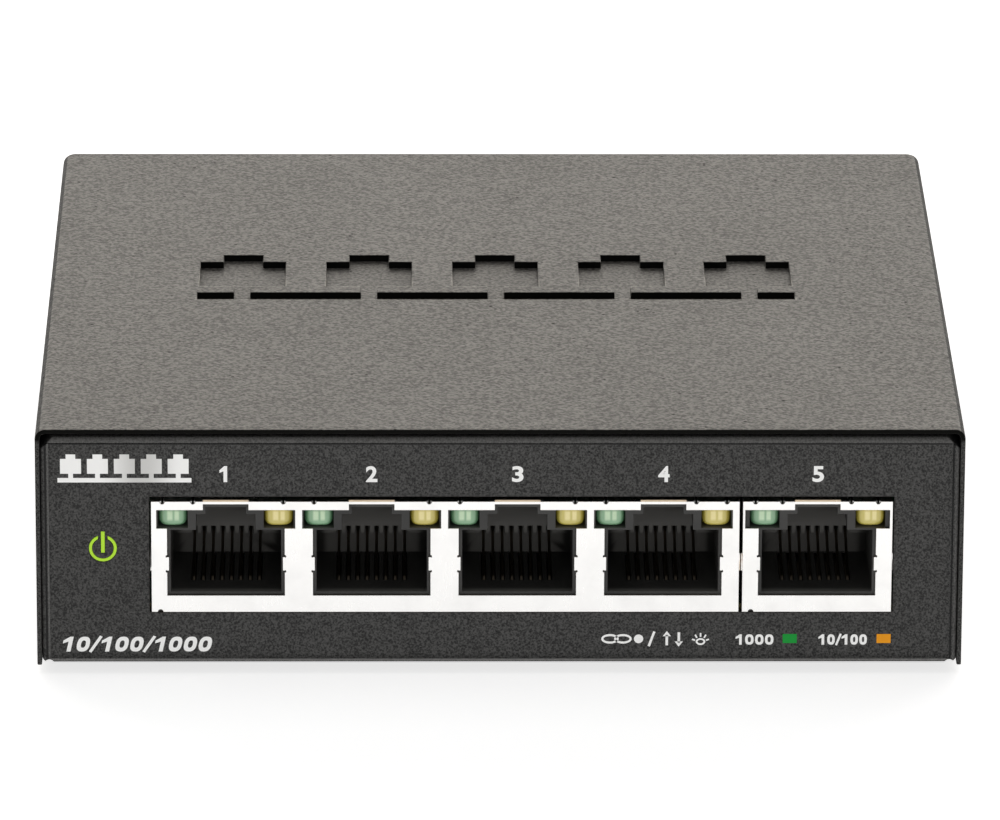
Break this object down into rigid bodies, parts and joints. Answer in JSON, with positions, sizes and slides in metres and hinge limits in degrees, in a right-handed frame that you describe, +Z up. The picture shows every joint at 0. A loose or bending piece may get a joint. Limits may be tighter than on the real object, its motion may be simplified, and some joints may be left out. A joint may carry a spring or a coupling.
{
  "type": "desktop network switch",
  "caption": "Small sheet-metal desktop network switch with shielded modular jacks and paired lights in its front, a pressed top cover, side vents and a barrel power inlet at the back.",
  "frame": {"origin": "middle of the footprint, on the surface that the feet stand on", "axes": "+X to the right of the front panel, +Y from the front to the back, +Z up"},
  "size_m": [0.1, 0.098, 0.028],
  "materials": {
    "cover_paint": "fine textured powder coat, warm grey",
    "base_paint": "fine textured powder coat, charcoal",
    "zinc_steel": "zinc plated",
    "black_steel": "black zinc plated",
    "foot_rubber": "matte black",
    "label_film": "satin film",
    "board_laminate": "green solder mask on glass laminate",
    "tinned_shell": "bright tin plate",
    "jack_plastic": "moulded black",
    "tinned_wire": "tinned",
    "clear_guide": "translucent, lit lime green",
    "lamp_body": "clear resin",
    "nickel_pin": "nickel plated",
    "button_plastic": "moulded black",
    "spring_steel": "stainless strip",
    "chip_resin": "moulded epoxy",
    "thermal_rubber": "soft grey",
    "black_aluminium": "black anodised",
    "can_steel": "plain drawn can",
    "ferrite": "sintered ferrite",
    "can_sleeve": "printed sleeve over aluminium",
    "ceramic_tan": "ceramic body",
    "ceramic_black": "glazed",
    "contact_gold": "gold flash",
    "led_green": "tinted domed resin, lit",
    "led_yellow": "tinted domed resin, lit"
  },
  "bodies": {
    "chassis": {"base_chassis": "base_paint", "board_screws": "zinc_steel", "board_standoffs": "zinc_steel", "buck_regulator": "chip_resin", "chip_capacitors": "ceramic_tan", "chip_resistors": "ceramic_black", "clinch_nuts": "zinc_steel", "contacts_port_1": "contact_gold", "contacts_port_2": "contact_gold", "contacts_port_3": "contact_gold", "contacts_port_4": "contact_gold", "contacts_port_5": "contact_gold", "cover_screws": "black_steel", "crystal": "can_steel", "dc_jack_housing": "jack_plastic", "dc_jack_pin": "nickel_pin", "dc_jack_spring": "nickel_pin", "flash_chip": "chip_resin", "foot_front_left": "foot_rubber", "foot_front_right": "foot_rubber", "foot_rear_left": "foot_rubber", "foot_rear_right": "foot_rubber", "heat_sink": "black_aluminium", "input_capacitor": "can_sleeve", "jack_block_housing": "jack_plastic", "jack_block_shell": "tinned_shell", "jack_single_housing": "jack_plastic", "jack_single_shell": "tinned_shell", "led_green_1": "led_green", "led_green_2": "led_green", "led_green_3": "led_green", "led_green_4": "led_green", "led_green_5": "led_green", "led_leads": "tinned_wire", "led_yellow_1": "led_yellow", "led_yellow_2": "led_yellow", "led_yellow_3": "led_yellow", "led_yellow_4": "led_yellow", "led_yellow_5": "led_yellow", "main_board": "board_laminate", "output_capacitor": "can_sleeve", "power_inductor": "ferrite", "power_led": "lamp_body", "power_light_pipe": "clear_guide", "rating_label": "label_film", "reset_switch_base": "jack_plastic", "reset_switch_dome": "spring_steel", "reset_switch_frame": "tinned_shell", "small_chip_leads": "tinned_wire", "switch_chip": "chip_resin", "switch_chip_leads": "tinned_wire", "thermal_pad": "thermal_rubber", "top_cover": "cover_paint", "transformer_1": "chip_resin", "transformer_2": "chip_resin", "transformer_3": "chip_resin", "transformer_4": "chip_resin", "transformer_5": "chip_resin", "transformer_leads": "tinned_wire"},
    "reset_button": {"reset_button": "button_plastic"}
  },
  "joints": [
    {"name": "reset_press", "type": "slide", "parent": "chassis", "child": "reset_button", "axis": [0, -1, 0], "range_m": [0, 0.00025], "stiffness_N_per_m": 4000, "deforming": ["reset_switch_dome"]}
  ]
}
